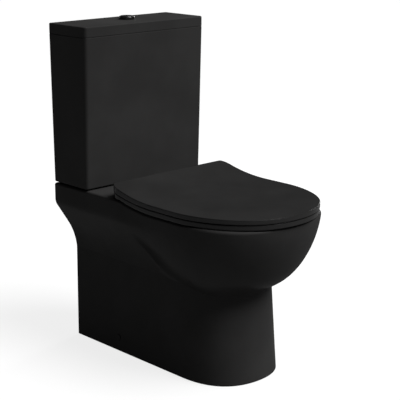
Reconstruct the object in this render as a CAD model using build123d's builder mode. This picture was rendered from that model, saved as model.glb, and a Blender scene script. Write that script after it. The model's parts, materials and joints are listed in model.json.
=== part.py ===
"""Close coupled toilet: pan, cistern, dual flush button, flush and fill valves, soft-close seat.

Units are millimetres. The origin is on the floor, in the plane of symmetry, half way between the wall
and the tip of the seat. +Z is up, +Y points to the wall and the front of the toilet faces -Y. Most places
are given as a distance from the wall, which at() turns into a Y coordinate.
"""

import os
from math import cos, radians, sin, sqrt, tan

from build123d import *

os.makedirs("parts", exist_ok=True)

# ---- Place of the wall ------------------------------------------------------------------------------
seat_front = 643.4          # distance from the wall to the tip of the seat
wall_y = seat_front / 2


def at(distance):
    """Y coordinate of a point at this distance from the wall."""
    return wall_y - distance


# ---- Pan: outer form --------------------------------------------------------------------------------
rim_height = 400.0
deck_height = 414.0
deck_end = 248.0            # distance from the wall at which the deck starts to fall to the rim
rise_start = 365.0          # distance from the wall at which the flat rim starts to rise
rise_blend_radius = 60.0
deck_half_width = 183.2

foot_half_width = 122.8
foot_straight_end = 393.0
foot_reach = 531.7          # the front of the foot on the floor
foot_side_fullness = 0.685  # how far the side runs on towards the foot's front corner
foot_front_fullness = 0.618
foot_top = 290.0
foot_front_lean = 0.106     # how far the front leans back for each unit of height
foot_side_lean = 0.009
foot_edge_radius = 3.0

bowl_centre = 440.3
bowl_half_width = deck_half_width + 1.8
bowl_front_length = 196.2
bowl_front_depth = 191.8
bowl_side_depth = 225.0
bowl_side_bulge = 1.58      # the side of the bowl keeps upright for longer with a larger bulge
bowl_side_roundness = 2.3   # and turns under more sharply with a larger roundness
bowl_front_bulge = 1.78
bowl_front_roundness = 2.66
bowl_low_fullness = 0.57    # fullness of the bowl's plan at the bottom
bowl_rim_fullness = 0.655   # and at the rim
bowl_bottom = 200.0

flare_angle = 33.4          # slope of the flare under the deck, from the vertical
flare_corner_height = deck_height - 50.0
flare_corner_radius = 28.0
flare_hollow_radius = 162.0
flare_root_half_width = 119.6

crease_lead = 60.0          # the crease between flare and bowl lies this far behind the bowl's centre
crease_spread = 125.0       # and moves back by this much more at the top
crease_foot = 225.0
crease_top = deck_height - 69.0
cut_rise = 26.0             # the pan is first made too high, and all within this height is cut away
section_rise = 16.0         # the highest of its sections lies this far above the deck
section_count = 24
oval_fullness = 0.6
through = 5.0               # a cut that goes through a wall runs on by this much

rim_edge_radius = 6.0

# ---- Pan: inside ------------------------------------------------------------------------------------
pan_wall = 13.0
mouth_half_width = 130.0
mouth_rear = 322.0
mouth_front = 598.0
mouth_edge_radius = 5.0
bowl_wall = 12.0

bowl_floor_radius = 20.0
# Depth below the rim, half-width, and the distances of rear and front from the wall.
bowl_levels = (
    (305, 38, 368, 452),
    (250, 46, 362, 468),
    (200, 66, 350, 494),
    (150, 96, 334, 548),
    (100, 124, 320, 586),
    (60, 139, 312, 606),
    (46, 140, 311, 608),
)
foot_hollow_top = 215.0
chamber_half_width = 108.0  # the open space behind the bowl and under the deck
chamber_front = 290.0
chamber_overlap = 10.0      # the chamber starts this far below the top of the foot's hollow
flare_hollow_rise = 6.0
flare_hollow_start = 276.0  # above this height the space widens under the flare
hollow_top = deck_height - 28.0  # underside of the deck, seen from inside
deck_sink = 4.0             # the walls of bowl and duct reach this far into the deck

trap_bore_radius = 42.0
outlet_radius = 51.0
outlet_height = 190.0
outlet_end = 30.0           # distance from the wall to the end of the outlet
outlet_start = 140.0        # and to the start of its straight run
outlet_bend = 165.0
trap_bend_radius = 60.0
trap_mouth = (440.0, 150.0)  # the trap's middle line: distance from the wall, height
trap_dip = (375.0, 120.0)
trap_crown = (265.0, 275.0)

duct_width = 80.0
duct_height = 58.0
duct_wall = 12.0

fixing_x = 75.0             # seat and cistern fixings, left and right of the middle
fixing_hole_radius = 6.0
side_screw_distance = 162.0
side_screw_height = 36.0

duct_rear = 16.0            # distance from the wall to the duct's rear
duct_start = 30.0           # and to the start of its passage
duct_reach = 20.0           # the passage runs this far past the rear of the mouth
inlet_radius = 34.0
inlet_depth = 50.0
washer_recess_radius = 57.0
washer_recess_depth = 14.0
supply_notch_depth = 76.0
supply_notch_width = 50.0
supply_notch_floor = deck_height - 94.0
mouth_floor = rim_height - 48.0

# ---- Floor fixing -----------------------------------------------------------------------------------
side_hole_radius = 4.0
side_screw_radius = 2.75
side_screw_end = 10.0       # the screws end this far behind the brackets
side_head_radius = side_hole_radius + 1.5
side_head_height = 1.6
side_cap_radius = 8.0
side_cap_clearance = 0.2
side_cap_seat = 3.0
side_cap_skirt = 1.8
side_cap_thickness = 2.6
side_cap_edge_radius = 1.2
bracket_thickness = 3.0
bracket_height = 60.0
side_screw_lean = foot_side_lean * bracket_height
bracket_width = 40.0
bracket_foot = 45.0
bracket_gap = 0.3           # between the brackets and the foot's wall
floor_hole_inset = 27.0
floor_hole_radius = 4.0

# ---- Cistern ----------------------------------------------------------------------------------------
cistern_bottom = deck_height + 3.0
cistern_top = cistern_bottom + 363.0
cistern_bottom_half_width = deck_half_width + 1.0
cistern_top_half_width = deck_half_width + 3.6
cistern_bottom_rear = 1.3
cistern_bottom_front = 129.9
cistern_top_rear = 0.0
cistern_top_front = 139.8
cistern_front_corner = 8.0
cistern_rear_corner = 3.2
cistern_inner_corner = 6.0
cistern_wall = 10.0
cistern_floor = 14.0
cistern_lower_edge_radius = 3.0
cistern_upper_edge_radius = 1.5
flush_distance = 67.0       # flush valve, button and cistern bolts: distance from the wall
supply_x = deck_half_width - 58.2
supply_distance = 55.0
flush_hole_radius = 31.0
supply_hole_radius = 11.0
fit = 0.05                  # radial clearance of threads, pins and other close fits

# ---- Coupling of cistern and pan --------------------------------------------------------------------
washer_clearance = 1.0
washer_edge_radius = 3.0
backnut_radius = 43.0
backnut_height = 13.0
backnut_body_radius = backnut_radius - 3.0
backnut_grips = 8
backnut_grip_depth = 6.0
backnut_grip_width = 8.0
pad_x = 128.0
pad_distance = 102.0
pad_length = 34.0
pad_width = 18.0
bolt_radius = 4.0
bolt_end = hollow_top - 36.0
bolt_head_radius = 9.0
bolt_head_height = 5.0
bolt_head_edge_radius = 2.0
bolt_slot_width = 1.6
bolt_slot_depth = 2.0
seal_radius = 13.0
seal_thickness = 6.0
seal_chamfer = 3.0
bolt_washer_radius = 12.0
bolt_washer_height = 2.0
wing_hub_radius = 7.0
wing_hub_height = 10.0
wing_span = 19.0
wing_thickness = 3.0
wing_tip_length = 9.0       # along the slanting end of each wing
wing_drop = 4.0             # its corners lie this far below the hub's foot
wing_tip_drop = 8.0
wing_top = 8.0              # and its root this far above
wing_root_half_width = 5.0
wing_notch = 2.0

# ---- Flush valve ------------------------------------------------------------------------------------
gasket_thickness = 3.0
gasket_inset = 2.0
gasket_clearance = 0.5
flange_radius = 42.0
flange_thickness = 5.0
spigot_radius = 30.0
spigot_bore_radius = 25.0
spigot_end = deck_height - 22.0
cage_radius = 38.0
cage_height = 60.0
cage_wall = 3.0
cage_window_width = 34.0
cage_window_rise = 8.0      # of the windows above the flange
cage_roof = 4.0
tower_radius = 29.0
tower_wall = 2.5
tower_slot_width = 14.0
tower_slot_inset = 30.0     # from the slot's ends to the ends of the tower
tower_cap = 4.0
plunger_hole_depth = 6.0
tower_top = cistern_bottom + 273.0
overflow_radius = 13.0
overflow_wall = 2.0
overflow_foot_radius = 26.0
overflow_foot_thickness = 3.0
overflow_gap = 1.0          # between the tube and the cage's roof
overflow_top = cistern_bottom + 223.0
seal_disc_radius = 30.0
seal_disc_thickness = 4.0
plunger_x = 9.0
plunger_radius = 3.5
plunger_depth = 16.0
plunger_pad_radius = 6.5
plunger_pad_bottom = 8.0    # the pads stand this far above the tower, which is more than their travel
plunger_pad_height = 4.0

# ---- Fill valve -------------------------------------------------------------------------------------
tail_radius = 10.4
tail_bore_radius = 6.0
tail_tip_radius = 10.2       # the end of the tail, which takes the nut of the supply hose
tail_tip_top = cistern_bottom - 13.0
tail_end = tail_tip_top - 27.0
tail_collar_radius = 19.0
tail_collar_height = 4.0
fill_washer_radius = 17.0
fill_washer_thickness = 3.0
fill_nut_radius = 17.0
fill_nut_height = 9.0
fill_nut_chamfer = 1.0
tail_tip_edge_radius = 1.0
riser_radius = 13.0
riser_bore_radius = 9.0
riser_top = cistern_bottom + 263.0
head_radius = 21.0
head_height = 36.0
head_edge_radius = 3.0
lever_pivot_offset = 14.0
lever_length = 44.0
lever_rise = 9.0            # lever's middle above the head
lever_width = 8.0
lever_thickness = 3.0
lever_overhang = 3.0        # how far the lever reaches past its pin and past the float's rod
lever_pin_radius = 1.5
lever_pin_length = 12.0
lever_slot_length = 5.4
lever_slot_width = 3.6
fork_length = 8.0
fork_width = 12.0
fork_play = 1.0             # the slot in the fork is this much wider than the lever
fork_sink = 3.0             # the fork starts this far inside the head
fork_rise = 4.0             # and ends this far above the pin
float_radius = 34.0
float_bottom = cistern_bottom + 158.0
float_height = 70.0
float_wall = 3.0
float_roof = 11.0
float_clearance = 0.5
float_rod_radius = 1.5
rod_cap_radius = 4.0
rod_cap_height = 3.0
rod_cap_gap = 1.2           # the rod's cap stands this far above the lever

# ---- Cistern lid and button -------------------------------------------------------------------------
cistern_lid_height = 25.0
lid_thickness = 13.0
cistern_lid_edge_radius = 3.0
lip_clearance = 3.0
lip_thickness = 5.0
lip_depth = 12.0
lip_corner = 5.0
lip_inner_corner = 4.0
lip_sink = 1.0              # the lip starts this far inside the lid
lid_hole_clearance = 0.3
collar_radius = 19.7
collar_height = 8.0
collar_edge_radius = 2.5
collar_barrel_radius = 18.0
collar_ledge = 3.0          # thickness of the ledge under the buttons
collar_skirt_wall = 2.0
collar_skirt_height = 11.0
collar_nut_radius = 23.0
collar_nut_height = 7.0
collar_nut_grips = 6
collar_nut_grip_depth = 4.0
collar_nut_grip_width = 7.0
button_bore_radius = 16.4
button_clearance = 0.3
button_thickness = 9.0
button_crown = 1.0          # the buttons stand this far above the collar
button_gap = 0.7
button_edge_radius = 1.2
button_well_depth = 12.0
rod_radius = 2.5
rod_clearance = 0.3
rod_gap = 0.3               # between each rod and the pad that it pushes
spring_radius = 4.2
spring_wire = 0.9
spring_pitch = 2.6

# ---- Seat -------------------------------------------------------------------------------------------
seat_half_width = deck_half_width + 4.3
seat_rear_half_width = deck_half_width + 0.3
seat_widest = 437.7         # distance from the wall at which the seat is widest
seat_rear = 207.6
seat_rear_corner = 35.0
seat_side_fullness = 0.337  # how far the side runs on towards the front corner
seat_front_fullness = 0.763
seat_side_bow = 1.5         # how far the side has bowed out at its first third
seat_inset = 1.2            # the ring's outline lies this far inside the lid's
buffer_gap = 2.0
ring_thickness = 11.0
ring_rear_thickness = 13.0
seat_lid_thickness = 10.5
seat_lid_rear_top = deck_height + 35.0
ring_hole_half_width = 112.0
ring_hole_rear = 345.0
ring_hole_front = 590.0
rear_edge_radius = 8.0      # the edge of the ring that turns past the deck when the seat is raised
rise_end = 230.0            # distance from the wall at which the joint of ring and lid stops rising
lid_rise_end = 219.0        # and at which the lid's top stops rising
slab_front = seat_front + 46.0
slab_bottom = rim_height - 10.0
slab_height = 90.0
buffer_radius = 7.0
buffer_edge_radius = 0.6
ring_buffer_places = ((158, 420), (95, 588))
lid_buffer_places = ((155, 430), (90, 598))

# ---- Seat hinges ------------------------------------------------------------------------------------
# The lid's rear edge is a half round about the hinge axis.
hinge_height = (deck_height + ring_rear_thickness + 2 * buffer_gap + seat_lid_rear_top) / 2
hinge_distance = seat_rear + seat_lid_rear_top - hinge_height
post_x = 75.0
post_width = 18.0
post_base_radius = 16.0
post_base_height = 1.6
knuckle_radius = 5.5
knuckle_width = 15.0
knuckle_gap = 0.3
pocket_clearance = 0.6      # of the lid round the knuckles
slot_clearance = 1.5        # of the ring in front of the posts
pocket_rear = 0.5           # the lid is cut away from this far behind the hinge axis
eye_sink = 1.0              # the ring's eyes start this far inside the ring
pin_radius = 3.0
hinge_bolt_top = deck_height + 9.0
hinge_cone_height = 6.0
hinge_nut_height = 12.0
hinge_nut_radius = 10.0
hinge_bolt_chamfer = 1.0
hinge_bolt_gap = 0.2        # between each bolt's end and the bottom of its hole


# ---- Outlines ---------------------------------------------------------------------------------------
def quarter_bend(start, corner, end, fullness, end_fullness=None):
    """A quarter of an oval. The two tangents meet at the corner, and fullness draws it towards there."""
    start, corner, end = Vector(*start), Vector(*corner), Vector(*end)
    end_fullness = end_fullness or fullness
    Bezier(start, start + (corner - start) * fullness, end + (corner - end) * end_fullness, end)


def oval_section(height, half_width, rear, front, fullness=oval_fullness):
    """A closed oval at this height, between two distances from the wall."""
    middle = (rear + front) / 2
    right, left = (half_width, at(middle)), (-half_width, at(middle))
    tip, heel = (0, at(front)), (0, at(rear))
    with BuildSketch(Plane.XY.offset(height)) as section:
        with BuildLine():
            quarter_bend(heel, (half_width, at(rear)), right, fullness)
            quarter_bend(right, (half_width, at(front)), tip, fullness)
            quarter_bend(tip, (-half_width, at(front)), left, fullness)
            quarter_bend(left, (-half_width, at(rear)), heel, fullness)
        make_face()
    return section.sketch


def foot_section(height, inset=0.0):
    """The foot at this height: straight sides from the wall and a rounded front."""
    half_width = foot_half_width - foot_side_lean * height - inset
    reach = foot_reach - foot_front_lean * height - inset
    with BuildSketch(Plane.XY.offset(height)) as section:
        with BuildLine():
            Line((-half_width, at(0)), (half_width, at(0)))
            Line((half_width, at(0)), (half_width, at(foot_straight_end)))
            quarter_bend((half_width, at(foot_straight_end)), (half_width, at(reach)), (0, at(reach)),
                         foot_side_fullness, foot_front_fullness)
            quarter_bend((0, at(reach)), (-half_width, at(reach)), (-half_width, at(foot_straight_end)),
                         foot_front_fullness, foot_side_fullness)
            Line((-half_width, at(foot_straight_end)), (-half_width, at(0)))
        make_face()
    return section.sketch


def taper(share, bulge, roundness):
    """Falls from 1 to 0 as share goes from 0 to 1, slowly at first and steeply at the end."""
    return (1 - min(share, 0.995) ** bulge) ** (1 / roundness)


def flare_half_width(height):
    """Half the width of the rear of the pan: deck side, rounded corner, slope and hollow."""
    angle = radians(flare_angle)
    slope = tan(angle)
    corner_run = flare_corner_radius * tan(angle / 2)
    hollow_run = flare_hollow_radius * tan(angle / 2)
    root_height = flare_corner_height - (deck_half_width - flare_root_half_width) / slope
    if height >= flare_corner_height + corner_run:
        return deck_half_width
    if height > flare_corner_height - corner_run * cos(angle):
        fall = flare_corner_height + corner_run - height
        return deck_half_width - flare_corner_radius + sqrt(flare_corner_radius**2 - fall**2)
    if height > root_height + hollow_run * cos(angle):
        return deck_half_width - (flare_corner_height - height) * slope
    rise = max(0.0, height - root_height + hollow_run)
    return flare_root_half_width + flare_hollow_radius - sqrt(flare_hollow_radius**2 - rise**2)


def bowl_section(height):
    """The bowl and the flare behind it at this height, in one outline with a soft crease between them."""
    depth = max(0.0, rim_height - height)
    side = bowl_half_width * taper(depth / bowl_side_depth, bowl_side_bulge, bowl_side_roundness)
    front = bowl_centre + bowl_front_length * taper(depth / bowl_front_depth, bowl_front_bulge,
                                                    bowl_front_roundness)
    rear = flare_half_width(height)
    climb = min(1.0, max(0.0, (height - crease_foot) / (crease_top - crease_foot)))
    crease = bowl_centre - crease_lead - crease_spread * climb**0.4
    run = bowl_centre - crease
    fullness = bowl_rim_fullness + (bowl_low_fullness - bowl_rim_fullness) * depth / bowl_side_depth
    with BuildSketch(Plane.XY.offset(height)) as section:
        with BuildLine():
            Line((-rear, at(0)), (rear, at(0)))
            Line((rear, at(0)), (rear, at(crease)))
            Bezier((rear, at(crease)), (rear, at(crease + 0.15 * run)),
                   (side, at(bowl_centre - 0.55 * run)), (side, at(bowl_centre)))
            quarter_bend((side, at(bowl_centre)), (side, at(front)), (0, at(front)), fullness)
            quarter_bend((0, at(front)), (-side, at(front)), (-side, at(bowl_centre)), fullness)
            Bezier((-side, at(bowl_centre)), (-side, at(bowl_centre - 0.55 * run)),
                   (-rear, at(crease + 0.15 * run)), (-rear, at(crease)))
            Line((-rear, at(crease)), (-rear, at(0)))
        make_face()
    return section.sketch


# ---- Pan --------------------------------------------------------------------------------------------
with BuildPart() as foot:
    loft([foot_section(0), foot_section(foot_top)], ruled=True)
    floor_edges = foot.edges().group_by(Axis.Z)[0].filter_by(lambda edge: edge.center().Y < wall_y - 1)
    fillet(floor_edges, foot_edge_radius)

with BuildPart() as upper:
    section_step = (deck_height + section_rise - bowl_bottom) / (section_count - 1)
    loft([bowl_section(bowl_bottom + step * section_step) for step in range(section_count)])
    # What lies above the rim, the rise behind it and the deck is cut away.
    with BuildSketch(Plane.YZ) as above_rim:
        with BuildLine():
            Polyline((at(rise_start), rim_height), (at(slab_front), rim_height),
                     (at(slab_front), deck_height + cut_rise), (at(-cut_rise), deck_height + cut_rise),
                     (at(-cut_rise), deck_height), (at(deck_end), deck_height))
            TangentArc((at(rise_start), rim_height), (at(deck_end), deck_height), tangent=(1, 0))
        make_face()
        crest = above_rim.vertices().sort_by_distance((at(deck_end), deck_height))[0]
        fillet(crest, rise_blend_radius)
    extrude(amount=deck_half_width + cut_rise, both=True, mode=Mode.SUBTRACT)

    rim_edges = upper.edges().filter_by(
        lambda edge: edge.center().Z > rim_height - 1
        and (abs(edge.center().X) > 1 or edge.center().Y > wall_y - 1)
    )
    fillet(rim_edges, rim_edge_radius)

with BuildPart() as bowl_shell:
    loft([oval_section(rim_height - depth, half_width + bowl_wall, rear - bowl_wall, front + bowl_wall)
          for depth, half_width, rear, front in bowl_levels])
    shell_rise = hollow_top + deck_sink - rim_height + bowl_levels[-1][0]
    extrude(bowl_shell.faces().sort_by(Axis.Z)[-1], amount=shell_rise)
    extrude(bowl_shell.faces().sort_by(Axis.Z)[0], amount=bowl_wall)

with BuildPart() as bowl_cavity:
    loft([oval_section(rim_height - depth, half_width, rear, front)
          for depth, half_width, rear, front in bowl_levels])
    fillet(bowl_cavity.edges().group_by(Axis.Z)[0], bowl_floor_radius)

with BuildPart() as hollow:
    loft([foot_section(0, pan_wall), foot_section(foot_hollow_top, pan_wall)], ruled=True)
    with BuildSketch(Plane.XZ.offset(-wall_y)):
        with BuildLine():
            chamber_bottom = foot_hollow_top - chamber_overlap
            Polyline((0, chamber_bottom), (chamber_half_width, chamber_bottom),
                     (chamber_half_width, flare_hollow_start),
                     (deck_half_width - pan_wall, flare_corner_height + flare_hollow_rise),
                     (deck_half_width - pan_wall, hollow_top), (0, hollow_top))
            mirror(about=Plane.YZ)
        make_face()
    extrude(amount=chamber_front)

with BuildLine(Plane.YZ) as trap_path:
    FilletPolyline((at(trap_mouth[0]), trap_mouth[1]), (at(trap_dip[0]), trap_dip[1]),
                   (at(trap_crown[0]), trap_crown[1]), (at(outlet_bend), outlet_height),
                   (at(outlet_start), outlet_height), radius=trap_bend_radius)


def outlet_tube(radius):
    """The straight end of the waste way, from its last bend to the outlet."""
    with BuildSketch(Plane.XZ.offset(-at(outlet_end))) as section:
        with Locations((0, outlet_height)):
            Circle(radius)
    return extrude(section.sketch, amount=outlet_start - outlet_end, mode=Mode.PRIVATE)


with BuildPart() as pan:
    add(upper.part)
    add(foot.part)
    add(hollow.part, mode=Mode.SUBTRACT)
    add(bowl_shell.part)
    # Flush duct from the inlet to the bowl.
    with Locations((0, at((duct_rear + mouth_rear) / 2), hollow_top + (deck_sink - duct_height) / 2)):
        Box(duct_width, mouth_rear - duct_rear, duct_height + deck_sink)
    with BuildSketch(Plane(trap_path.line @ 0, z_dir=trap_path.line % 0)):
        Circle(outlet_radius)
    sweep(path=trap_path.line)
    add(outlet_tube(outlet_radius))
    add(bowl_cavity.part, mode=Mode.SUBTRACT)
    with BuildSketch(Plane(trap_path.line @ 0, z_dir=trap_path.line % 0)):
        Circle(trap_bore_radius)
    sweep(path=trap_path.line, mode=Mode.SUBTRACT)
    add(outlet_tube(trap_bore_radius), mode=Mode.SUBTRACT)
    # Mouth of the bowl, with a rounded rim.
    extrude(oval_section(mouth_floor, mouth_half_width, mouth_rear, mouth_front),
            amount=cut_rise + rim_height - mouth_floor, mode=Mode.SUBTRACT)
    mouth_edges = pan.edges().filter_by(
        lambda edge: edge.center().Z > rim_height - 2
        and abs(edge.center().X) < mouth_half_width + 1
        and at(mouth_front + 1) < edge.center().Y < at(mouth_rear - 1)
    )
    fillet(mouth_edges, mouth_edge_radius)
    # Flush passage: a recess for the coupling washer, the inlet, and the duct to the bowl.
    with Locations((0, at(flush_distance), deck_height)):
        CounterBoreHole(inlet_radius, washer_recess_radius, washer_recess_depth, inlet_depth)
    passage_height = duct_height - duct_wall
    passage_end = mouth_rear + duct_reach
    with Locations((0, at((duct_start + passage_end) / 2), hollow_top - passage_height / 2)):
        Box(duct_width - 2 * duct_wall, passage_end - duct_start, passage_height, mode=Mode.SUBTRACT)
    # Fixing holes of the cistern and of the seat, and the notch for the water supply.
    with Locations(*[(x, at(distance), deck_height) for x in (-fixing_x, fixing_x)
                     for distance in (flush_distance, hinge_distance)]):
        Hole(fixing_hole_radius, deck_height - hollow_top + through)
    notch_height = deck_height + cut_rise - supply_notch_floor
    with Locations((supply_x, at(supply_notch_depth / 2), supply_notch_floor + notch_height / 2)):
        Box(supply_notch_width, supply_notch_depth + 2, notch_height, mode=Mode.SUBTRACT)
    # Side fixing holes, each with a seat for its cap.
    with Locations(Plane.YZ.offset(foot_half_width) * Location((at(side_screw_distance), side_screw_height)),
                   Plane.ZY.offset(foot_half_width) * Location((side_screw_height, at(side_screw_distance)))):
        CounterBoreHole(side_hole_radius, side_cap_radius + side_cap_clearance,
                        side_cap_seat + side_screw_lean, pan_wall + through)
pan.part.label = "pan"
export_step(pan.part, "parts/pan.step")


# ---- Floor fixing -----------------------------------------------------------------------------------
bracket_x = foot_half_width - pan_wall - 2 * foot_side_lean * side_screw_height
with BuildPart() as floor_brackets:
    bracket_face = bracket_x - bracket_gap
    with Locations((bracket_face - bracket_thickness / 2, at(side_screw_distance), bracket_height / 2)):
        Box(bracket_thickness, bracket_width, bracket_height)
    with Locations((bracket_face - bracket_foot / 2, at(side_screw_distance), bracket_thickness / 2)):
        Box(bracket_foot, bracket_width, bracket_thickness)
    with Locations((bracket_x - floor_hole_inset, at(side_screw_distance), bracket_thickness)):
        Hole(floor_hole_radius)
    with Locations(Plane.YZ.offset(bracket_x) * Location((at(side_screw_distance), side_screw_height))):
        Hole(side_screw_radius + fit, bracket_foot / 2)
    mirror(about=Plane.YZ)
floor_brackets.part.label = "floor_brackets"
export_step(floor_brackets.part, "parts/floor_brackets.step")

screw_head_x = foot_half_width - side_cap_seat - side_screw_lean
with BuildPart() as side_screws:
    with Locations(Plane.YZ.offset(bracket_x - side_screw_end)
                   * Location((at(side_screw_distance), side_screw_height))):
        Cylinder(side_screw_radius, screw_head_x - bracket_x + side_screw_end,
                 align=(Align.CENTER, Align.CENTER, Align.MIN))
    with Locations(Plane.YZ.offset(screw_head_x) * Location((at(side_screw_distance), side_screw_height))):
        Cylinder(side_head_radius, side_head_height, align=(Align.CENTER, Align.CENTER, Align.MIN))
    mirror(about=Plane.YZ)
side_screws.part.label = "side_screws"
export_step(side_screws.part, "parts/side_screws.step")

with BuildPart() as side_caps:
    with BuildSketch(Plane.YZ.offset(screw_head_x)):
        with Locations((at(side_screw_distance), side_screw_height)):
            Circle(side_cap_radius)
            Circle(side_head_radius + side_cap_clearance, mode=Mode.SUBTRACT)
    extrude(amount=side_cap_skirt)
    with BuildSketch(Plane.YZ.offset(screw_head_x + side_cap_skirt)):
        with Locations((at(side_screw_distance), side_screw_height)):
            Circle(side_cap_radius)
    extrude(amount=side_cap_thickness)
    fillet(side_caps.edges().group_by(Axis.X)[-1], side_cap_edge_radius)
    mirror(about=Plane.YZ)
side_caps.part.label = "side_caps"
export_step(side_caps.part, "parts/side_caps.step")


# ---- Cistern ----------------------------------------------------------------------------------------
def box_section(height, half_width, rear, front, front_corner, rear_corner):
    """A rectangle with rounded corners at this height, between two distances from the wall."""
    with BuildSketch(Plane.XY.offset(height)) as section:
        with Locations((0, at((rear + front) / 2))):
            Rectangle(2 * half_width, front - rear)
        fillet(section.vertices().group_by(Axis.Y)[0], front_corner)
        fillet(section.vertices().group_by(Axis.Y)[-1], rear_corner)
    return section.sketch


with BuildPart() as cistern:
    loft([
        box_section(cistern_bottom, cistern_bottom_half_width, cistern_bottom_rear, cistern_bottom_front,
                    cistern_front_corner, cistern_rear_corner),
        box_section(cistern_top, cistern_top_half_width, cistern_top_rear, cistern_top_front,
                    cistern_front_corner, cistern_rear_corner),
    ], ruled=True)
    fillet(cistern.edges().group_by(Axis.Z)[0], cistern_lower_edge_radius)
    fillet(cistern.edges().group_by(Axis.Z)[-1], cistern_upper_edge_radius)
    loft([
        box_section(cistern_bottom + cistern_floor, cistern_bottom_half_width - cistern_wall,
                    cistern_bottom_rear + cistern_wall, cistern_bottom_front - cistern_wall,
                    cistern_inner_corner, cistern_inner_corner),
        box_section(cistern_top, cistern_top_half_width - cistern_wall,
                    cistern_top_rear + cistern_wall, cistern_top_front - cistern_wall,
                    cistern_inner_corner, cistern_inner_corner),
    ], ruled=True, mode=Mode.SUBTRACT)
    with Locations((0, at(flush_distance), cistern_bottom + cistern_floor)):
        Hole(flush_hole_radius, 2 * cistern_floor)
    with Locations((-fixing_x, at(flush_distance), cistern_bottom + cistern_floor),
                   (fixing_x, at(flush_distance), cistern_bottom + cistern_floor)):
        Hole(fixing_hole_radius, 2 * cistern_floor)
    with Locations((supply_x, at(supply_distance), cistern_bottom + cistern_floor)):
        Hole(supply_hole_radius, 2 * cistern_floor)
cistern.part.label = "cistern"
export_step(cistern.part, "parts/cistern.step")

inside_floor = cistern_bottom + cistern_floor


def ring(outer_radius, inner_radius, bottom, height, x=0.0, distance=flush_distance):
    """A plain upright ring or sleeve, added to the part in work."""
    with BuildSketch(Plane.XY.offset(bottom)) as section:
        with Locations((x, at(distance))):
            Circle(outer_radius)
            if inner_radius > 0:
                Circle(inner_radius, mode=Mode.SUBTRACT)
    return extrude(section.sketch, amount=height, mode=Mode.PRIVATE)


# ---- Coupling of cistern and pan --------------------------------------------------------------------
with BuildPart() as coupling_washer:
    add(ring(washer_recess_radius - washer_clearance, backnut_radius + washer_clearance,
             deck_height - washer_recess_depth, cistern_bottom - deck_height + washer_recess_depth))
    top_edges = coupling_washer.edges().filter_by(GeomType.CIRCLE).group_by(Axis.Z)[-1]
    fillet(top_edges.sort_by(SortBy.LENGTH)[-1], washer_edge_radius)
coupling_washer.part.label = "coupling_washer"
export_step(coupling_washer.part, "parts/coupling_washer.step")

with BuildPart() as cistern_pads:
    with Locations(*[(x, at(pad_distance), (deck_height + cistern_bottom) / 2) for x in (-pad_x, pad_x)]):
        Box(pad_length, pad_width, cistern_bottom - deck_height)
cistern_pads.part.label = "cistern_pads"
export_step(cistern_pads.part, "parts/cistern_pads.step")

with BuildPart() as cistern_bolts:
    for x in (-fixing_x, fixing_x):
        add(ring(bolt_radius, 0, bolt_end, inside_floor + seal_thickness - bolt_end, x))
        add(ring(bolt_head_radius, 0, inside_floor + seal_thickness, bolt_head_height, x))
    fillet(cistern_bolts.edges().group_by(Axis.Z)[-1], bolt_head_edge_radius)
    with Locations(*[(x, at(flush_distance), inside_floor + seal_thickness + bolt_head_height)
                     for x in (-fixing_x, fixing_x)]):
        Box(2 * bolt_head_radius, bolt_slot_width, 2 * bolt_slot_depth, mode=Mode.SUBTRACT)
cistern_bolts.part.label = "cistern_bolts"
export_step(cistern_bolts.part, "parts/cistern_bolts.step")

with BuildPart() as bolt_seals:
    for x in (-fixing_x, fixing_x):
        add(ring(seal_radius, bolt_radius + fit, inside_floor, seal_thickness, x))
    top_edges = bolt_seals.edges().group_by(Axis.Z)[-1]
    chamfer(top_edges.filter_by(lambda edge: edge.radius > seal_radius - seal_chamfer), seal_chamfer)
bolt_seals.part.label = "bolt_seals"
export_step(bolt_seals.part, "parts/bolt_seals.step")

with BuildPart() as bolt_washers:
    for x in (-fixing_x, fixing_x):
        add(ring(bolt_washer_radius, bolt_radius + fit, hollow_top - bolt_washer_height,
                 bolt_washer_height, x))
bolt_washers.part.label = "bolt_washers"
export_step(bolt_washers.part, "parts/bolt_washers.step")

hub_foot = hollow_top - bolt_washer_height - wing_hub_height
wing_tip_start = wing_span - wing_tip_length
with BuildPart() as wing_nuts:
    for x in (-fixing_x, fixing_x):
        add(ring(wing_hub_radius, 0, hub_foot, wing_hub_height, x))
        with BuildSketch(Plane.XZ.offset(-at(flush_distance) - wing_thickness / 2)):
            with BuildLine():
                Polyline((x - wing_root_half_width, hub_foot + wing_top),
                         (x + wing_root_half_width, hub_foot + wing_top),
                         (x + wing_span, hub_foot - wing_drop),
                         (x + wing_tip_start, hub_foot - wing_tip_drop),
                         (x, hub_foot + wing_notch),
                         (x - wing_tip_start, hub_foot - wing_tip_drop),
                         (x - wing_span, hub_foot - wing_drop), close=True)
            make_face()
        extrude(amount=wing_thickness)
        with Locations((x, at(flush_distance), hollow_top)):
            Hole(bolt_radius + fit, hollow_top - bolt_end)
wing_nuts.part.label = "wing_nuts"
export_step(wing_nuts.part, "parts/wing_nuts.step")

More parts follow.
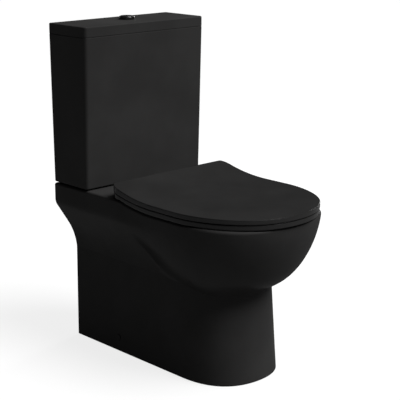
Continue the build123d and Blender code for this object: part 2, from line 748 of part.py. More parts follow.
# ---- Flush valve ------------------------------------------------------------------------------------
flange_bottom = inside_floor + gasket_thickness
cage_bottom = flange_bottom + flange_thickness
cage_top = cage_bottom + cage_height
with BuildPart() as flush_valve:
    add(ring(spigot_radius, spigot_bore_radius, spigot_end, cage_bottom - spigot_end))
    add(ring(flange_radius, spigot_bore_radius, flange_bottom, flange_thickness))
    add(ring(cage_radius, cage_radius - cage_wall, cage_bottom, cage_height))
    window_height = cage_height - cage_window_rise - cage_roof
    with Locations((0, at(flush_distance), cage_bottom + cage_window_rise + window_height / 2)):
        Box(3 * cage_radius, cage_window_width, window_height, mode=Mode.SUBTRACT)
        Box(cage_window_width, 3 * cage_radius, window_height, mode=Mode.SUBTRACT)
    add(ring(cage_radius, overflow_radius + overflow_gap, cage_top, cage_roof))
    add(ring(tower_radius, tower_radius - tower_wall, cage_top + cage_roof,
             tower_top - tower_cap - cage_top - cage_roof))
    with Locations((0, at(flush_distance), (cage_top + tower_top) / 2)):
        Box(3 * tower_radius, tower_slot_width, tower_top - cage_top - 2 * tower_slot_inset,
            mode=Mode.SUBTRACT)
    add(ring(tower_radius, 0, tower_top - tower_cap, tower_cap))
    with Locations((-plunger_x, at(flush_distance), tower_top), (plunger_x, at(flush_distance), tower_top)):
        Hole(plunger_radius + fit, plunger_hole_depth)
flush_valve.part.label = "flush_valve"
export_step(flush_valve.part, "parts/flush_valve.step")

with BuildPart() as flush_gasket:
    add(ring(flange_radius - gasket_inset, spigot_radius + gasket_clearance, inside_floor, gasket_thickness))
flush_gasket.part.label = "flush_gasket"
export_step(flush_gasket.part, "parts/flush_gasket.step")

with BuildPart() as flush_backnut:
    add(ring(backnut_body_radius, spigot_radius + fit, cistern_bottom - backnut_height, backnut_height))
    with Locations((0, at(flush_distance), cistern_bottom - backnut_height / 2)):
        with PolarLocations(backnut_body_radius, backnut_grips):
            Box(backnut_grip_depth, backnut_grip_width, backnut_height)
flush_backnut.part.label = "flush_backnut"
export_step(flush_backnut.part, "parts/flush_backnut.step")

with BuildPart() as flush_seal:
    add(ring(seal_disc_radius, 0, cage_bottom, seal_disc_thickness))
flush_seal.part.label = "flush_seal"
export_step(flush_seal.part, "parts/flush_seal.step")

with BuildPart() as overflow_tube:
    overflow_bottom = cage_bottom + seal_disc_thickness
    overflow_bore_radius = overflow_radius - overflow_wall
    add(ring(overflow_radius, overflow_bore_radius, overflow_bottom, overflow_top - overflow_bottom))
    add(ring(overflow_foot_radius, overflow_bore_radius, overflow_bottom, overflow_foot_thickness))
overflow_tube.part.label = "overflow_tube"
export_step(overflow_tube.part, "parts/overflow_tube.step")

with BuildPart() as full_flush_plunger:
    add(ring(plunger_radius, 0, tower_top - plunger_depth, plunger_depth + plunger_pad_bottom, plunger_x))
    add(ring(plunger_pad_radius, 0, tower_top + plunger_pad_bottom, plunger_pad_height, plunger_x))
full_flush_plunger.part.label = "full_flush_plunger"
export_step(full_flush_plunger.part, "parts/full_flush_plunger.step")

with BuildPart() as half_flush_plunger:
    add(mirror(full_flush_plunger.part, about=Plane.YZ, mode=Mode.PRIVATE))
half_flush_plunger.part.label = "half_flush_plunger"
export_step(half_flush_plunger.part, "parts/half_flush_plunger.step")

# ---- Fill valve -------------------------------------------------------------------------------------
head_top = riser_top + head_height
tail_collar_bottom = inside_floor + fill_washer_thickness
riser_bottom = tail_collar_bottom + tail_collar_height
with BuildPart() as fill_valve:
    add(ring(tail_tip_radius, tail_bore_radius, tail_end, tail_tip_top - tail_end, supply_x, supply_distance))
    add(ring(tail_radius, tail_bore_radius, tail_tip_top, tail_collar_bottom - tail_tip_top, supply_x,
             supply_distance))
    add(ring(tail_collar_radius, tail_bore_radius, tail_collar_bottom, tail_collar_height, supply_x,
             supply_distance))
    add(ring(riser_radius, riser_bore_radius, riser_bottom, riser_top - riser_bottom, supply_x,
             supply_distance))
    fillet(fill_valve.edges().group_by(Axis.Z)[0].sort_by(SortBy.LENGTH)[-1], tail_tip_edge_radius)
fill_valve.part.label = "fill_valve"
export_step(fill_valve.part, "parts/fill_valve.step")

with BuildPart() as fill_washer:
    add(ring(fill_washer_radius, tail_radius + fit, inside_floor, fill_washer_thickness, supply_x,
             supply_distance))
fill_washer.part.label = "fill_washer"
export_step(fill_washer.part, "parts/fill_washer.step")

with BuildPart() as fill_backnut:
    with BuildSketch(Plane.XY.offset(cistern_bottom - fill_nut_height)):
        with Locations((supply_x, at(supply_distance))):
            RegularPolygon(fill_nut_radius, 6)
            Circle(tail_radius + fit, mode=Mode.SUBTRACT)
    extrude(amount=fill_nut_height)
    chamfer(fill_backnut.edges().group_by(Axis.Z)[0].filter_by(GeomType.LINE), fill_nut_chamfer)
fill_backnut.part.label = "fill_backnut"
export_step(fill_backnut.part, "parts/fill_backnut.step")

pivot_x = supply_x + lever_pivot_offset
pivot_height = head_top + lever_rise
with BuildPart() as fill_valve_head:
    add(ring(head_radius, 0, riser_top, head_height, supply_x, supply_distance))
    fillet(fill_valve_head.edges().group_by(Axis.Z)[-1], head_edge_radius)
    with Locations((pivot_x, at(supply_distance), head_top + (lever_rise + fork_rise - fork_sink) / 2)):
        Box(fork_length, fork_width, lever_rise + fork_rise + fork_sink)
    with Locations((pivot_x, at(supply_distance), pivot_height)):
        Box(fork_length + through, lever_width + fork_play, fork_length + 2 * fork_play, mode=Mode.SUBTRACT)
    with Locations(Plane.XZ.offset(-at(supply_distance)) * Location((pivot_x, pivot_height))):
        Cylinder(lever_pin_radius + fit, fork_width + through, mode=Mode.SUBTRACT)
fill_valve_head.part.label = "fill_valve_head"
export_step(fill_valve_head.part, "parts/fill_valve_head.step")

lever_end_x = pivot_x - lever_length
with BuildPart() as float_lever:
    with Locations((pivot_x - lever_length / 2, at(supply_distance), pivot_height)):
        Box(lever_length + 2 * lever_overhang, lever_width, lever_thickness)
    with Locations(Plane.XZ.offset(-at(supply_distance)) * Location((pivot_x, pivot_height))):
        Cylinder(lever_pin_radius, lever_pin_length)
    with Locations((lever_end_x, at(supply_distance), pivot_height)):
        Box(lever_slot_length, lever_slot_width, 4 * lever_thickness, mode=Mode.SUBTRACT)
float_lever.part.label = "float_lever"
export_step(float_lever.part, "parts/float_lever.step")

float_top = float_bottom + float_height
rod_top = pivot_height + lever_thickness / 2 + rod_cap_gap
with BuildPart() as float_cup:
    add(ring(float_radius, riser_radius + float_clearance, float_bottom, float_height, supply_x,
             supply_distance))
    # The cup is open below.
    add(ring(float_radius - float_wall, riser_radius + float_wall, float_bottom, float_height - float_roof,
             supply_x, supply_distance), mode=Mode.SUBTRACT)
    add(ring(float_rod_radius, 0, float_top, rod_top - float_top, lever_end_x, supply_distance))
    add(ring(rod_cap_radius, 0, rod_top, rod_cap_height, lever_end_x, supply_distance))
float_cup.part.label = "float_cup"
export_step(float_cup.part, "parts/float_cup.step")

# ---- Cistern lid and button -------------------------------------------------------------------------
lid_top = cistern_top + cistern_lid_height
with BuildPart() as cistern_lid:
    extrude(box_section(cistern_top, cistern_top_half_width, cistern_top_rear, cistern_top_front,
                        cistern_front_corner, cistern_rear_corner), amount=cistern_lid_height)
    fillet(cistern_lid.edges().group_by(Axis.Z)[-1], cistern_lid_edge_radius)
    fillet(cistern_lid.edges().group_by(Axis.Z)[0], cistern_upper_edge_radius)
    lip = cistern_wall + lip_clearance
    extrude(box_section(cistern_top - lip_depth, cistern_top_half_width - lip, cistern_top_rear + lip,
                        cistern_top_front - lip, lip_corner, lip_corner), amount=lip_depth + lip_sink)
    lip += lip_thickness
    extrude(box_section(cistern_top - lip_depth, cistern_top_half_width - lip, cistern_top_rear + lip,
                        cistern_top_front - lip, lip_inner_corner, lip_inner_corner),
            amount=lip_depth + cistern_lid_height - lid_thickness, mode=Mode.SUBTRACT)
    with Locations((0, at(flush_distance), lid_top)):
        Hole(collar_barrel_radius + lid_hole_clearance, 2 * cistern_lid_height)
cistern_lid.part.label = "cistern_lid"
export_step(cistern_lid.part, "parts/cistern_lid.step")

collar_top = lid_top + collar_height
ledge_top = lid_top - button_well_depth
ledge_bottom = ledge_top - collar_ledge
with BuildPart() as button_collar:
    add(ring(collar_radius, button_bore_radius, lid_top, collar_height))
    fillet(button_collar.edges().group_by(Axis.Z)[-1].sort_by(SortBy.LENGTH)[-1], collar_edge_radius)
    add(ring(collar_barrel_radius, button_bore_radius, ledge_top, lid_top - ledge_top))
    add(ring(collar_barrel_radius, 0, ledge_bottom, collar_ledge))
    with Locations((-plunger_x, at(flush_distance), ledge_top), (plunger_x, at(flush_distance), ledge_top)):
        Hole(rod_radius + rod_clearance, collar_ledge + through)
    add(ring(collar_barrel_radius, collar_barrel_radius - collar_skirt_wall,
             ledge_bottom - collar_skirt_height, collar_skirt_height))
button_collar.part.label = "button_collar"
export_step(button_collar.part, "parts/button_collar.step")

with BuildPart() as collar_nut:
    add(ring(collar_nut_radius, collar_barrel_radius + fit, lid_top - lid_thickness - collar_nut_height,
             collar_nut_height))
    with Locations((0, at(flush_distance), lid_top - lid_thickness - collar_nut_height / 2)):
        with PolarLocations(collar_nut_radius, collar_nut_grips):
            Box(collar_nut_grip_depth, collar_nut_grip_width, collar_nut_height)
collar_nut.part.label = "collar_nut"
export_step(collar_nut.part, "parts/collar_nut.step")

with BuildPart() as button_disc:
    add(ring(button_bore_radius - button_clearance, 0, collar_top - button_thickness,
             button_thickness + button_crown))
    fillet(button_disc.edges().group_by(Axis.Z)[-1], button_edge_radius)


def button_half(side):
    """The half of the button disc on one side of the middle."""
    with BuildPart(mode=Mode.PRIVATE) as half:
        add(button_disc.part)
        with Locations((side * (2 * collar_radius + button_gap / 2), at(flush_distance), collar_top)):
            Box(4 * collar_radius, 4 * collar_radius, 4 * collar_radius, mode=Mode.INTERSECT)
    return half.part


with BuildPart() as full_flush_button:
    add(button_half(1))
full_flush_button.part.label = "full_flush_button"
export_step(full_flush_button.part, "parts/full_flush_button.step")

with BuildPart() as half_flush_button:
    add(button_half(-1))
half_flush_button.part.label = "half_flush_button"
export_step(half_flush_button.part, "parts/half_flush_button.step")

rod_bottom = tower_top + plunger_pad_bottom + plunger_pad_height + rod_gap
rod_top = collar_top - button_thickness
with BuildPart() as full_flush_rod:
    add(ring(rod_radius, 0, rod_bottom, rod_top - rod_bottom, plunger_x))
full_flush_rod.part.label = "full_flush_rod"
export_step(full_flush_rod.part, "parts/full_flush_rod.step")

with BuildPart() as half_flush_rod:
    add(ring(rod_radius, 0, rod_bottom, rod_top - rod_bottom, -plunger_x))
half_flush_rod.part.label = "half_flush_rod"
export_step(half_flush_rod.part, "parts/half_flush_rod.step")


def coil_spring(x):
    """A coil spring round one push rod, between the collar's ledge and the underside of the button."""
    height = rod_top - ledge_top - spring_wire
    with BuildPart(mode=Mode.PRIVATE) as spring:
        with BuildLine():
            foot_of_coil = (x, at(flush_distance), ledge_top + spring_wire / 2)
            coil = Helix(spring_pitch, height, spring_radius, center=foot_of_coil)
        with BuildSketch(Plane(coil @ 0, z_dir=coil % 0)):
            Circle(spring_wire / 2)
        sweep(path=coil, is_frenet=True)
    return spring.part


with BuildPart() as full_flush_spring:
    add(coil_spring(plunger_x))
full_flush_spring.part.label = "full_flush_spring"
export_step(full_flush_spring.part, "parts/full_flush_spring.step")

with BuildPart() as half_flush_spring:
    add(coil_spring(-plunger_x))
half_flush_spring.part.label = "half_flush_spring"
export_step(half_flush_spring.part, "parts/half_flush_spring.step")


# ---- Seat -------------------------------------------------------------------------------------------
def seat_outline(height, inset):
    """Outline shared by seat ring and seat lid, seen from above."""
    half_width, rear_half_width = seat_half_width - inset, seat_rear_half_width - inset
    front, rear = seat_front - inset, seat_rear + inset
    with BuildSketch(Plane.XY.offset(height)) as section:
        with BuildLine():
            Line((0, at(rear)), (rear_half_width, at(rear)))
            Bezier((rear_half_width, at(rear)), (rear_half_width + seat_side_bow, at(seat_widest - 150)),
                   (half_width, at(seat_widest - 100)), (half_width, at(seat_widest)))
            quarter_bend((half_width, at(seat_widest)), (half_width, at(front)), (0, at(front)),
                         seat_side_fullness, seat_front_fullness)
            mirror(about=Plane.YZ)
        make_face()
        fillet(section.vertices().group_by(Axis.Y)[-1].filter_by(lambda corner: abs(corner.X) > 1),
               seat_rear_corner - inset)
    return section.sketch


def seat_slab(bottom, top, rolled):
    """A slab across the whole width with the side view of the ring or the lid.

    Bottom and top are each the height at the front, the height at the rear and the distance from the wall at
    which the rise ends. The rear edge is rolled round the hinge axis, or square with its lower corner round.
    """
    rear_end = hinge_distance if rolled else seat_rear
    with BuildPart(mode=Mode.PRIVATE) as slab:
        with BuildSketch(Plane.YZ) as side_view:
            with BuildLine():
                for front_height, rear_height, rise_end in (bottom, top):
                    Line((at(slab_front), front_height), (at(rise_start), front_height))
                    TangentArc((at(rise_start), front_height), (at(rise_end), rear_height), tangent=(1, 0))
                    Line((at(rise_end), rear_height), (at(rear_end), rear_height))
                Line((at(slab_front), bottom[0]), (at(slab_front), top[0]))
                if rolled:
                    TangentArc((at(rear_end), bottom[1]), (at(rear_end), top[1]), tangent=(1, 0))
                else:
                    Line((at(rear_end), bottom[1]), (at(rear_end), top[1]))
            make_face()
            if not rolled:
                fillet(side_view.vertices().sort_by_distance((at(seat_rear), bottom[1]))[0], rear_edge_radius)
        extrude(amount=seat_half_width + through, both=True)
    return slab.part


def hinge_span(x_low, x_high, radius):
    """A drum round the hinge axis between two places across the toilet."""
    with BuildPart(mode=Mode.PRIVATE) as drum:
        with Locations(((x_low + x_high) / 2, at(hinge_distance), hinge_height)):
            Cylinder(radius, x_high - x_low, rotation=(0, 90, 0))
    return drum.part


ring_bottom_front = rim_height + buffer_gap
ring_bottom_rear = deck_height + buffer_gap
ring_top_front = ring_bottom_front + ring_thickness
ring_top_rear = ring_bottom_rear + ring_rear_thickness
lid_bottom_front = ring_top_front + buffer_gap
lid_bottom_rear = ring_top_rear + buffer_gap
lid_top_front = lid_bottom_front + seat_lid_thickness
lug_in, lug_out = post_x - post_width / 2 - knuckle_gap - knuckle_width, post_x - post_width / 2 - knuckle_gap
eye_in, eye_out = post_x + post_width / 2 + knuckle_gap, post_x + post_width / 2 + knuckle_gap + knuckle_width
sides = (-1, 1)


def span_box(x_low, x_high, rear, front, bottom, top):
    """A block between two places across, two distances from the wall and two heights."""
    with BuildPart(mode=Mode.PRIVATE) as block:
        with Locations(((x_low + x_high) / 2, at((rear + front) / 2), (bottom + top) / 2)):
            Box(abs(x_high - x_low), front - rear, top - bottom)
    return block.part


with BuildPart() as seat_ring:
    extrude(seat_outline(slab_bottom, seat_inset), amount=slab_height)
    add(seat_slab((ring_bottom_front, ring_bottom_rear, deck_end), (ring_top_front, ring_top_rear, rise_end),
                  rolled=False), mode=Mode.INTERSECT)
    extrude(oval_section(slab_bottom, ring_hole_half_width, ring_hole_rear, ring_hole_front),
            amount=slab_height, mode=Mode.SUBTRACT)
    for side in sides:
        # A slot for the hinge post, and beside it an eye that stands on the ring.
        add(span_box(side * lug_out, side * eye_in, seat_rear - through,
                     hinge_distance + knuckle_radius + slot_clearance, rim_height, hinge_height),
            mode=Mode.SUBTRACT)
        add(span_box(side * eye_in, side * eye_out, hinge_distance - knuckle_radius,
                     hinge_distance + knuckle_radius, ring_top_rear - eye_sink, hinge_height))
        add(hinge_span(*sorted((side * eye_in, side * eye_out)), knuckle_radius))
        add(hinge_span(*sorted((side * eye_in, side * (eye_out + knuckle_gap))), pin_radius + fit),
            mode=Mode.SUBTRACT)
seat_ring.part.label = "seat_ring"
export_step(seat_ring.part, "parts/seat_ring.step")

with BuildPart() as seat_lid:
    extrude(seat_outline(slab_bottom, 0), amount=slab_height)
    add(seat_slab((lid_bottom_front, lid_bottom_rear, rise_end),
                  (lid_top_front, seat_lid_rear_top, lid_rise_end), rolled=True), mode=Mode.INTERSECT)
    for side in sides:
        # A pocket for the hinge post and the ring's eye, open at the rear and below.
        pocket = (side * lug_out, side * (eye_out + knuckle_gap))
        pocket_radius = knuckle_radius + pocket_clearance
        add(span_box(*pocket, seat_rear - through, hinge_distance - pocket_rear, rim_height,
                     seat_lid_rear_top + through), mode=Mode.SUBTRACT)
        add(span_box(*pocket, seat_rear - through, hinge_distance + pocket_radius, rim_height, hinge_height),
            mode=Mode.SUBTRACT)
        add(hinge_span(*sorted(pocket), pocket_radius), mode=Mode.SUBTRACT)
        add(hinge_span(*sorted((side * (lug_in - knuckle_gap), side * lug_out)), pin_radius + fit),
            mode=Mode.SUBTRACT)
seat_lid.part.label = "seat_lid"
export_step(seat_lid.part, "parts/seat_lid.step")


def buffers(places, bottom):
    """Round rubber buffers, each flat on top and slightly domed below."""
    with BuildPart(mode=Mode.PRIVATE) as group:
        with BuildSketch(Plane.XY.offset(bottom)):
            with Locations(*[(side * x, at(distance)) for side in sides for x, distance in places]):
                Circle(buffer_radius)
        extrude(amount=buffer_gap)
        fillet(group.edges().group_by(Axis.Z)[0], buffer_edge_radius)
    return group.part


with BuildPart() as ring_buffers:
    add(buffers(ring_buffer_places, rim_height))
ring_buffers.part.label = "ring_buffers"
export_step(ring_buffers.part, "parts/ring_buffers.step")

with BuildPart() as lid_buffers:
    add(buffers(lid_buffer_places, ring_top_front))
lid_buffers.part.label = "lid_buffers"
export_step(lid_buffers.part, "parts/lid_buffers.step")

# ---- Seat hinges ------------------------------------------------------------------------------------
with BuildPart() as hinge_posts:
    for side in sides:
        add(ring(post_base_radius, 0, deck_height, post_base_height, side * post_x, hinge_distance))
        add(span_box(side * (post_x - post_width / 2), side * (post_x + post_width / 2),
                     hinge_distance - knuckle_radius, hinge_distance + knuckle_radius,
                     deck_height + post_base_height, hinge_height))
        post = (side * (post_x - post_width / 2), side * (post_x + post_width / 2))
        add(hinge_span(*sorted(post), knuckle_radius))
        pin_hole = (side * (post_x - post_width), side * (post_x + post_width))
        add(hinge_span(*sorted(pin_hole), pin_radius + fit), mode=Mode.SUBTRACT)
        add(ring(bolt_radius + fit, 0, deck_height, hinge_bolt_top - deck_height + hinge_bolt_gap,
                 side * post_x, hinge_distance), mode=Mode.SUBTRACT)
hinge_posts.part.label = "hinge_posts"
export_step(hinge_posts.part, "parts/hinge_posts.step")

with BuildPart() as hinge_pins:
    for side in sides:
        add(hinge_span(*sorted((side * lug_in, side * eye_out)), pin_radius))
hinge_pins.part.label = "hinge_pins"
export_step(hinge_pins.part, "parts/hinge_pins.step")

with BuildPart() as hinge_bolts:
    for side in sides:
        add(ring(bolt_radius, 0, bolt_end, hinge_bolt_top - bolt_end, side * post_x, hinge_distance))
    chamfer(hinge_bolts.edges().group_by(Axis.Z)[0], hinge_bolt_chamfer)
hinge_bolts.part.label = "hinge_bolts"
export_step(hinge_bolts.part, "parts/hinge_bolts.step")

with BuildPart() as hinge_cones:
    for side in sides:
        add(ring(bolt_washer_radius, bolt_radius + fit, hollow_top - hinge_cone_height, hinge_cone_height,
                 side * post_x, hinge_distance))
hinge_cones.part.label = "hinge_cones"
export_step(hinge_cones.part, "parts/hinge_cones.step")

with BuildPart() as hinge_nuts:
    for side in sides:
        with BuildSketch(Plane.XY.offset(hollow_top - hinge_cone_height - hinge_nut_height)):
            with Locations((side * post_x, at(hinge_distance))):
                RegularPolygon(hinge_nut_radius, 6)
                Circle(bolt_radius + fit, mode=Mode.SUBTRACT)
        extrude(amount=hinge_nut_height)
hinge_nuts.part.label = "hinge_nuts"
export_step(hinge_nuts.part, "parts/hinge_nuts.step")
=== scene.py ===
"""Looks of the close coupled toilet: finishes, button springs, floor, studio light and camera."""

import json
from math import cos, radians, sin

import bpy
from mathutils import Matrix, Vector


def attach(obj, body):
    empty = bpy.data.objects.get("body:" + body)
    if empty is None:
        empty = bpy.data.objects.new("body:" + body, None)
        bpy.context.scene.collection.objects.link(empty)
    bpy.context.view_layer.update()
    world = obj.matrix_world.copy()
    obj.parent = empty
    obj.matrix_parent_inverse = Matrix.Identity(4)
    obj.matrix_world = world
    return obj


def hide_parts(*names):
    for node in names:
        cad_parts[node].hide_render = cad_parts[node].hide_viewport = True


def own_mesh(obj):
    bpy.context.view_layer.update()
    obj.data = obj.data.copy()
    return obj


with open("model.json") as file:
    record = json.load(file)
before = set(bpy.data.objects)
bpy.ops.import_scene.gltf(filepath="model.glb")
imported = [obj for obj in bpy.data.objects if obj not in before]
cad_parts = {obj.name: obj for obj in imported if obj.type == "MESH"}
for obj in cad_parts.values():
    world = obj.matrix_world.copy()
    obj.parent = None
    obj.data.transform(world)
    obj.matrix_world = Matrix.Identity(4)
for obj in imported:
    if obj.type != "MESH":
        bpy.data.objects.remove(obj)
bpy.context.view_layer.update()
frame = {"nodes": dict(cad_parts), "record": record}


# ---- Finishes ---------------------------------------------------------------------------------------
def grey(value):
    """A neutral colour."""
    return (value, value, value)


def new_finish(name, colour, roughness, metallic=0.0):
    """A material with one Principled shader; the colour and the roughness can be replaced by patterns."""
    material = bpy.data.materials.new(name)
    material.use_nodes = True
    shader = material.node_tree.nodes["Principled BSDF"]
    shader.inputs["Base Color"].default_value = (*colour, 1.0)
    shader.inputs["Roughness"].default_value = roughness
    shader.inputs["Metallic"].default_value = metallic
    return material


def node(material, kind, inputs=None, **settings):
    """Adds a node with these settings and input values. An input given as a socket is linked."""
    new = material.node_tree.nodes.new("ShaderNode" + kind)
    for key, value in settings.items():
        setattr(new, key, value)
    for key, value in (inputs or {}).items():
        if isinstance(value, bpy.types.NodeSocket):
            material.node_tree.links.new(value, new.inputs[key])
        else:
            new.inputs[key].default_value = value
    return new


def place(material):
    """Object coordinates, in metres."""
    return node(material, "TexCoord").outputs["Object"]


def noise(material, scale, detail, roughness=0.5, where=None):
    """A noise between 0 and 1, with features of about 1 / scale metres."""
    inputs = {"Vector": where or place(material), "Scale": scale, "Detail": detail, "Roughness": roughness}
    return node(material, "TexNoise", inputs).outputs["Fac"]


def spread(material, value, low, high, start=0.0, end=1.0):
    """Maps a value from start..end to low..high."""
    inputs = {"Value": value, "From Min": start, "From Max": end, "To Min": low, "To Max": high}
    return node(material, "MapRange", inputs).outputs["Result"]


def two_tone(material, factor, first, second):
    """Mixes two colours."""
    mix = node(material, "Mix", data_type="RGBA")
    factor_input, first_input, second_input = mix.inputs[0], mix.inputs[6], mix.inputs[7]
    material.node_tree.links.new(factor, factor_input)
    first_input.default_value = (*first, 1.0)
    second_input.default_value = (*second, 1.0)
    return next(output for output in mix.outputs if output.type == "RGBA")


def into(material, socket, name):
    """Links a socket to an input of the material's shader."""
    shader = material.node_tree.nodes["Principled BSDF"]
    material.node_tree.links.new(socket, shader.inputs[name])


def relief(material, height, distance, strength=1.0, under=None):
    """Raises the surface by height times distance, in metres, in the shading only."""
    inputs = {"Height": height, "Distance": distance, "Strength": strength}
    if under is not None:
        inputs["Normal"] = under
    normal = node(material, "Bump", inputs).outputs["Normal"]
    into(material, normal, "Normal")
    return normal


bevel_samples = 6


def satin(name, dark, light, gloss, coat, edge_radius):
    """Satin glaze or thermoset: a faintly uneven colour, soft waves, a fine orange peel and rounded edges."""
    material = new_finish(name, dark, gloss)
    shader = material.node_tree.nodes["Principled BSDF"]
    shader.inputs["Specular IOR Level"].default_value = 0.0
    shader.inputs["Coat Weight"].default_value = coat
    shader.inputs["Coat Roughness"].default_value = gloss
    edges = node(material, "Bevel", {"Radius": edge_radius}, samples=bevel_samples).outputs["Normal"]
    cloud = noise(material, scale=9.0, detail=4.0)
    shade = spread(material, cloud, low=0.0, high=1.0, start=0.35, end=0.65)
    into(material, two_tone(material, shade, dark, light), "Base Color")
    smear = noise(material, scale=45.0, detail=5.0, roughness=0.6)
    into(material, spread(material, smear, gloss - 0.03, gloss + 0.05, start=0.3, end=0.7), "Roughness")
    swell = noise(material, scale=22.0, detail=1.0)
    waves = relief(material, swell, distance=0.0004, strength=0.5, under=edges)
    peel = noise(material, scale=420.0, detail=2.0)
    into(material, relief(material, peel, distance=0.00004, strength=0.5, under=waves), "Coat Normal")
    return material


def plastic(name, dark, light, gloss, grain=900.0, depth=0.00003):
    """Moulded plastic with a fine grain, faint flow marks and a slightly uneven gloss."""
    material = new_finish(name, dark, gloss)
    flow = noise(material, scale=30.0, detail=3.0)
    shade = spread(material, flow, low=0.0, high=1.0, start=0.3, end=0.7)
    into(material, two_tone(material, shade, dark, light), "Base Color")
    rubbed = noise(material, scale=150.0, detail=3.0)
    into(material, spread(material, rubbed, gloss - 0.05, gloss + 0.07, start=0.3, end=0.7), "Roughness")
    relief(material, noise(material, scale=grain, detail=2.0), depth, strength=0.6)
    return material


def rubber(name, dark, light, pores, depth):
    """Dull rubber, dusty in its pores."""
    dull, dustiest = 0.65, 0.9
    material = new_finish(name, dark, dull)
    dust = noise(material, scale=pores, detail=4.0, roughness=0.65)
    shade = spread(material, dust, low=0.0, high=1.0, start=0.4, end=0.75)
    into(material, two_tone(material, shade, dark, light), "Base Color")
    into(material, spread(material, dust, dull, dustiest), "Roughness")
    relief(material, dust, depth)
    return material


def metal(name, dark, light, gloss, stretch, depth=0.00002):
    """Metal with fine lines from drawing, turning or grinding, stretched along one axis."""
    material = new_finish(name, dark, gloss, metallic=1.0)
    stretched = node(material, "Mapping", {"Vector": place(material), "Scale": stretch}).outputs["Vector"]
    lines = noise(material, scale=300.0, detail=3.0, roughness=0.6, where=stretched)
    tarnish = noise(material, scale=70.0, detail=4.0)
    shade = spread(material, tarnish, low=0.0, high=1.0, start=0.35, end=0.7)
    into(material, two_tone(material, shade, dark, light), "Base Color")
    into(material, spread(material, lines, gloss - 0.06, gloss + 0.12, start=0.3, end=0.7), "Roughness")
    relief(material, lines, depth, strength=0.6)
    return material


finishes = {
    "glaze": satin(
        "black_glaze",
        dark=(0.0262, 0.0258, 0.0256),
        light=(0.0318, 0.0314, 0.0312),
        gloss=0.26,
        coat=0.05,
        edge_radius=0.0015,
    ),
    "seat": satin(
        "black_thermoset",
        dark=(0.0165, 0.0163, 0.0162),
        light=(0.0200, 0.0198, 0.0197),
        gloss=0.11,
        coat=0.14,
        edge_radius=0.004,
    ),
    "button": plastic(
        "black_button_plastic", dark=grey(0.008), light=grey(0.011), gloss=0.14, grain=500.0, depth=0.00001
    ),
    "black_plastic": plastic("black_hinge_plastic", dark=grey(0.012), light=grey(0.018), gloss=0.42),
    "white_plastic": plastic(
        "white_valve_plastic", dark=(0.74, 0.74, 0.72), light=(0.82, 0.82, 0.80), gloss=0.38
    ),
    "grey_plastic": plastic(
        "grey_valve_plastic", dark=(0.30, 0.31, 0.32), light=(0.37, 0.38, 0.39), gloss=0.40
    ),
    "blue_plastic": plastic(
        "blue_valve_plastic", dark=(0.035, 0.12, 0.30), light=(0.05, 0.15, 0.36), gloss=0.36
    ),
    "rubber": rubber(
        "black_rubber", dark=grey(0.012), light=(0.03, 0.03, 0.029), pores=380.0, depth=0.00006
    ),
    "foam_rubber": rubber("foamed_rubber", dark=grey(0.014), light=grey(0.05), pores=700.0, depth=0.0004),
    "brass": metal(
        "turned_brass",
        dark=(0.62, 0.42, 0.16),
        light=(0.78, 0.56, 0.26),
        gloss=0.28,
        stretch=(1.0, 1.0, 8.0),
    ),
    "steel": metal(
        "zinc_plated_steel",
        dark=(0.50, 0.51, 0.52),
        light=(0.62, 0.62, 0.60),
        gloss=0.34,
        stretch=(6.0, 1.0, 1.0),
    ),
    "damper": metal(
        "ground_steel",
        dark=(0.45, 0.45, 0.46),
        light=(0.55, 0.55, 0.56),
        gloss=0.22,
        stretch=(8.0, 1.0, 1.0),
    ),
    "spring": metal(
        "drawn_spring_wire",
        dark=(0.42, 0.42, 0.43),
        light=grey(0.52),
        gloss=0.26,
        stretch=(1.0, 1.0, 1.0),
    ),
}

for part in frame["record"]["subparts"]:
    for entry in frame["nodes"][part["node"]].material_slots:
        entry.material = finishes[part["material_slot"]]

# ---- Button springs ---------------------------------------------------------------------------------
weld_distance = 0.00001
smooth_angle = radians(40)


def squeezed_spring(side):
    """Stands for the spring under one half of the button: a welded, smooth-shaded copy of the rigid spring
    that moves with that half.
    """
    rigid = frame["nodes"][side + "_flush_spring"]
    spring = bpy.data.objects.new(side + "_spring_wire", rigid.data.copy())
    bpy.context.scene.collection.objects.link(spring)
    bpy.ops.object.select_all(action="DESELECT")
    spring.select_set(True)
    bpy.context.view_layer.objects.active = spring
    bpy.ops.object.mode_set(mode="EDIT")
    bpy.ops.mesh.select_all(action="SELECT")
    bpy.ops.mesh.remove_doubles(threshold=weld_distance)
    bpy.ops.object.mode_set(mode="OBJECT")
    bpy.ops.object.shade_smooth_by_angle(angle=smooth_angle)
    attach(spring, side + "_button_body")
    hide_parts(rigid.name)
    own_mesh(spring)


squeezed_spring("full")
squeezed_spring("half")

# ---- Floor ------------------------------------------------------------------------------------------
floor_radius = 40.0
floor_corners = 96
floor_glow = 0.82
bpy.ops.object.select_all(action="DESELECT")
bpy.ops.mesh.primitive_circle_add(vertices=floor_corners, radius=floor_radius, fill_type="NGON")
floor = bpy.context.object
floor.name = "floor"
floor_finish = new_finish("pale_floor", grey(0.18), roughness=0.9)
floor_shader = floor_finish.node_tree.nodes["Principled BSDF"]
floor_shader.inputs["Specular IOR Level"].default_value = 0.0
speckle = noise(floor_finish, scale=60.0, detail=3.0)
into(floor_finish, two_tone(floor_finish, speckle, grey(0.178), grey(0.182)), "Base Color")
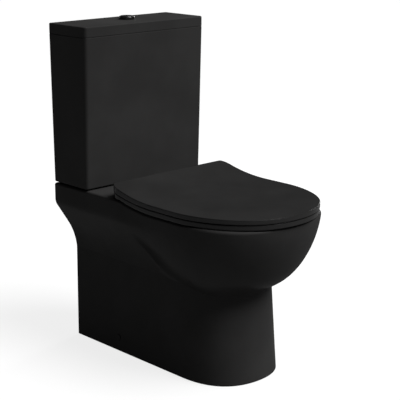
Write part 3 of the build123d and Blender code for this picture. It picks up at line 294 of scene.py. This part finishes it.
# The floor looks white where it is seen, straight on or in a gloss, and still keeps a pale shadow.
path = node(floor_finish, "LightPath")
seen = path.outputs["Is Camera Ray"]
for ray in ("Is Glossy Ray", "Is Transmission Ray"):
    seen = node(floor_finish, "Math", {0: seen, 1: path.outputs[ray]}, operation="MAXIMUM").outputs[0]
into(floor_finish, spread(floor_finish, seen, low=0.0, high=floor_glow), "Emission Strength")
floor_shader.inputs["Emission Color"].default_value = (*grey(1.0), 1.0)
floor.data.materials.append(floor_finish)

# ---- Light ------------------------------------------------------------------------------------------
world = bpy.data.worlds.new("studio")
bpy.context.scene.world = world
world.use_nodes = True
background = world.node_tree.nodes["Background"]
background.inputs["Color"].default_value = (*grey(0.02), 1.0)
background.inputs["Strength"].default_value = 1.0
softbox_target = Vector((0, 0, 0.4))
softbox_distance = 2.6


def away(azimuth, elevation):
    """Unit vector from the toilet towards this azimuth and elevation, in degrees."""
    a, e = radians(azimuth), radians(elevation)
    return Vector((sin(a) * cos(e), -cos(a) * cos(e), sin(e)))


def in_scene(name, data, place_at, back):
    """Adds a lamp or a camera at a place, turned so that it looks against the back vector."""
    new = bpy.data.objects.new(name, data)
    bpy.context.scene.collection.objects.link(new)
    new.location = place_at
    new.rotation_euler = back.to_track_quat("Z", "Y").to_euler()
    return new


def softbox(name, azimuth, elevation, size, power):
    """A soft rectangular lamp that looks at the middle of the toilet."""
    data = bpy.data.lights.new(name, "AREA")
    data.shape = "RECTANGLE"
    data.size, data.size_y = size
    data.energy = power
    back = away(azimuth, elevation)
    in_scene(name, data, softbox_target + back * softbox_distance, back)


sun = bpy.data.lights.new("even_light", "SUN")
sun.energy = 4.0
sun.angle = radians(36)
in_scene("even_light", sun, (0, 0, 0), away(azimuth=26, elevation=54))

softbox("top_softbox", azimuth=10, elevation=80, size=(1.6, 1.6), power=15)
softbox("right_strip", azimuth=110, elevation=19, size=(0.4, 1.0), power=24)

# ---- Camera -----------------------------------------------------------------------------------------
camera_data = bpy.data.cameras.new("camera")
camera_data.lens = 106.32
camera_data.sensor_width = 36.0
camera_data.clip_end = 100.0
camera_place = (-1.8642, -1.9787, 1.1120)
camera = in_scene("camera", camera_data, camera_place, away(azimuth=-43.37, elevation=14.74))
bpy.context.scene.camera = camera
bpy.context.scene.view_settings.view_transform = "Standard"
